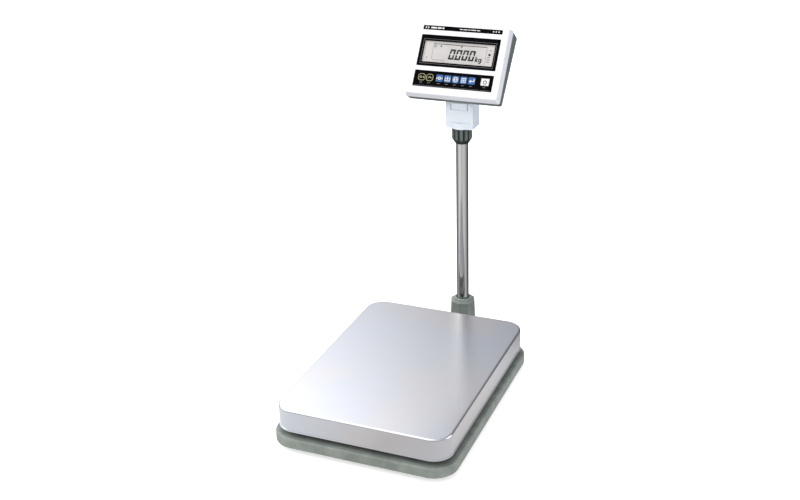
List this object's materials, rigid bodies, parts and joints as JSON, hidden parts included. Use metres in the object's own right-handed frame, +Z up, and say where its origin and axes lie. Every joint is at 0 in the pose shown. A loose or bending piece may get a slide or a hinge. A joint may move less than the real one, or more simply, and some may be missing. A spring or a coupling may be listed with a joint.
{
  "type": "bench scale",
  "caption": "Floor-standing bench scale with a lift-off stainless pan on a load cell, levelling feet, a rear column and a swivelling, tilting indicator with press keys.",
  "frame": {"origin": "on the floor, on the centre plane, midway between the base's front edge and the indicator's rearmost edge", "axes": "+X to the operator's right, +Y to the rear, +Z up"},
  "size_m": [0.3784, 0.6657, 0.7056],
  "materials": {
    "base_paint": "satin grey textured paint",
    "pan_steel": "satin stainless sheet",
    "tube_steel": "polished stainless tube",
    "cast_aluminium": "as cast",
    "cell_aluminium": "milled",
    "zinc_steel": "bright zinc",
    "black_rubber": "matt",
    "cable_jacket": "matt",
    "white_plastic": "fine moulded grain",
    "bracket_plastic": "fine moulded grain",
    "grey_plastic": "fine moulded grain",
    "nut_plastic": "fluted, satin",
    "black_panel": "printed film",
    "clear_lens": "clear",
    "lcd_surface": "matt polariser",
    "backlight": "diffusing",
    "board_green": "solder mask",
    "blue_key": "printed film",
    "outline_key": "printed film, pale outline",
    "white_key": "printed film",
    "battery_case": "smooth",
    "brass": "machined",
    "clear_acrylic": "tinted liquid"
  },
  "bodies": {
    "base": {"base_frame": "base_paint", "column_bracket": "base_paint", "bracket_screws": "zinc_steel", "column_tube": "tube_steel", "column_set_screws": "zinc_steel", "load_cell": "cell_aluminium", "load_cell_spacer": "zinc_steel", "load_cell_screws": "zinc_steel", "overload_stops": "zinc_steel", "overload_stop_nuts": "zinc_steel", "signal_cable": "cable_jacket", "level_housing": "black_panel", "level_vial": "clear_acrylic", "foot_lock_nuts": "zinc_steel"},
    "platform": {"spider_frame": "cast_aluminium", "spider_pads": "black_rubber", "spider_spacer": "zinc_steel", "spider_screws": "zinc_steel"},
    "pan": {"platter": "pan_steel"},
    "swivel": {"swivel_bracket": "bracket_plastic", "tilt_pin": "zinc_steel", "tilt_nut": "zinc_steel", "pin_caps": "bracket_plastic", "friction_washers": "brass"},
    "clamp_ring": {"clamp_washer": "nut_plastic"},
    "clamp": {"clamp_nut": "nut_plastic"},
    "indicator": {"tilt_hinge": "bracket_plastic", "hinge_screws": "zinc_steel", "front_shell": "white_plastic", "rear_shell": "grey_plastic", "case_gasket": "black_rubber", "battery_cover": "grey_plastic", "case_screws": "zinc_steel", "display_frame": "black_panel", "display_lens": "clear_lens", "lcd_glass": "lcd_surface", "lcd_backlight": "backlight", "top_label": "black_panel", "main_board": "board_green", "battery": "battery_case", "head_cable": "cable_jacket", "key_panel": "black_panel", "key_board": "board_green"},
    "key_unit_cap": {"key_unit": "outline_key"},
    "key_light_cap": {"key_light": "outline_key"},
    "key_zero_cap": {"key_zero": "blue_key"},
    "key_tare_cap": {"key_tare": "blue_key"},
    "key_hold_cap": {"key_hold": "blue_key"},
    "key_sample_cap": {"key_sample": "blue_key"},
    "key_set_cap": {"key_set": "blue_key"},
    "key_power_cap": {"key_power": "white_key"},
    "foot_front_left_pad": {"foot_pad_1": "black_rubber"},
    "foot_front_left_stud": {"foot_stud_1": "zinc_steel"},
    "foot_front_right_pad": {"foot_pad_2": "black_rubber"},
    "foot_front_right_stud": {"foot_stud_2": "zinc_steel"},
    "foot_rear_left_pad": {"foot_pad_3": "black_rubber"},
    "foot_rear_left_stud": {"foot_stud_3": "zinc_steel"},
    "foot_rear_right_pad": {"foot_pad_4": "black_rubber"},
    "foot_rear_right_stud": {"foot_stud_4": "zinc_steel"}
  },
  "joints": [
    {"name": "platform_load", "type": "slide", "parent": "base", "child": "platform", "axis": [0, 0, 1], "range_m": [-0.0005, 0], "stiffness_N_per_m": 1200000, "deforming": ["load_cell"]},
    {"name": "pan_lift", "type": "slide", "parent": "platform", "child": "pan", "axis": [0, 0, 1], "range_m": [0, 0.06]},
    {"name": "swivel_turn", "type": "hinge", "parent": "base", "child": "swivel", "pos_m": [0, 0.27751, 0.486], "axis": [0, 0, 1], "range_deg": [-170, 170]},
    {"name": "indicator_tilt", "type": "hinge", "parent": "swivel", "child": "indicator", "pos_m": [0, 0.27751, 0.536], "axis": [1, 0, 0], "range_deg": [-25, 30]},
    {"name": "clamp_ring_travel", "type": "slide", "parent": "swivel", "child": "clamp_ring", "axis": [0, 0, 1], "range_m": [-0.004, 0]},
    {"name": "clamp_nut_turn", "type": "hinge", "parent": "clamp_ring", "child": "clamp", "pos_m": [0, 0.27751, 0.465], "axis": [0, 0, 1], "range_deg": [-720, 0]},
    {"name": "foot_front_left_travel", "type": "slide", "parent": "base", "child": "foot_front_left_pad", "axis": [0, 0, 1], "range_m": [-0.006, 0.00225]},
    {"name": "foot_front_left_turn", "type": "hinge", "parent": "foot_front_left_pad", "child": "foot_front_left_stud", "pos_m": [-0.144, -0.28449, 0.03], "axis": [0, 0, 1], "range_deg": [-1440, 540]},
    {"name": "foot_front_right_travel", "type": "slide", "parent": "base", "child": "foot_front_right_pad", "axis": [0, 0, 1], "range_m": [-0.006, 0.00225]},
    {"name": "foot_front_right_turn", "type": "hinge", "parent": "foot_front_right_pad", "child": "foot_front_right_stud", "pos_m": [0.144, -0.28449, 0.03], "axis": [0, 0, 1], "range_deg": [-1440, 540]},
    {"name": "foot_rear_left_travel", "type": "slide", "parent": "base", "child": "foot_rear_left_pad", "axis": [0, 0, 1], "range_m": [-0.006, 0.00225]},
    {"name": "foot_rear_left_turn", "type": "hinge", "parent": "foot_rear_left_pad", "child": "foot_rear_left_stud", "pos_m": [-0.144, 0.13751, 0.03], "axis": [0, 0, 1], "range_deg": [-1440, 540]},
    {"name": "foot_rear_right_travel", "type": "slide", "parent": "base", "child": "foot_rear_right_pad", "axis": [0, 0, 1], "range_m": [-0.006, 0.00225]},
    {"name": "foot_rear_right_turn", "type": "hinge", "parent": "foot_rear_right_pad", "child": "foot_rear_right_stud", "pos_m": [0.144, 0.13751, 0.03], "axis": [0, 0, 1], "range_deg": [-1440, 540]},
    {"name": "key_unit_press", "type": "slide", "parent": "indicator", "child": "key_unit_cap", "axis": [0, -0.8221, 0.5693], "range_m": [-0.0006, 0], "stiffness_N_per_m": 400, "springref_m": 0.001},
    {"name": "key_light_press", "type": "slide", "parent": "indicator", "child": "key_light_cap", "axis": [0, -0.8221, 0.5693], "range_m": [-0.0006, 0], "stiffness_N_per_m": 400, "springref_m": 0.001},
    {"name": "key_zero_press", "type": "slide", "parent": "indicator", "child": "key_zero_cap", "axis": [0, -0.8221, 0.5693], "range_m": [-0.0006, 0], "stiffness_N_per_m": 400, "springref_m": 0.001},
    {"name": "key_tare_press", "type": "slide", "parent": "indicator", "child": "key_tare_cap", "axis": [0, -0.8221, 0.5693], "range_m": [-0.0006, 0], "stiffness_N_per_m": 400, "springref_m": 0.001},
    {"name": "key_hold_press", "type": "slide", "parent": "indicator", "child": "key_hold_cap", "axis": [0, -0.8221, 0.5693], "range_m": [-0.0006, 0], "stiffness_N_per_m": 400, "springref_m": 0.001},
    {"name": "key_sample_press", "type": "slide", "parent": "indicator", "child": "key_sample_cap", "axis": [0, -0.8221, 0.5693], "range_m": [-0.0006, 0], "stiffness_N_per_m": 400, "springref_m": 0.001},
    {"name": "key_set_press", "type": "slide", "parent": "indicator", "child": "key_set_cap", "axis": [0, -0.8221, 0.5693], "range_m": [-0.0006, 0], "stiffness_N_per_m": 400, "springref_m": 0.001},
    {"name": "key_power_press", "type": "slide", "parent": "indicator", "child": "key_power_cap", "axis": [0, -0.8221, 0.5693], "range_m": [-0.0006, 0], "stiffness_N_per_m": 400, "springref_m": 0.001}
  ],
  "couplings": [
    {"joint": "clamp_nut_turn", "follows": "clamp_ring_travel", "rad_per_m": 3141.6},
    {"joint": "foot_front_left_turn", "follows": "foot_front_left_travel", "rad_per_m": 4188.8},
    {"joint": "foot_front_right_turn", "follows": "foot_front_right_travel", "rad_per_m": 4188.8},
    {"joint": "foot_rear_left_turn", "follows": "foot_rear_left_travel", "rad_per_m": 4188.8},
    {"joint": "foot_rear_right_turn", "follows": "foot_rear_right_travel", "rad_per_m": 4188.8}
  ]
}
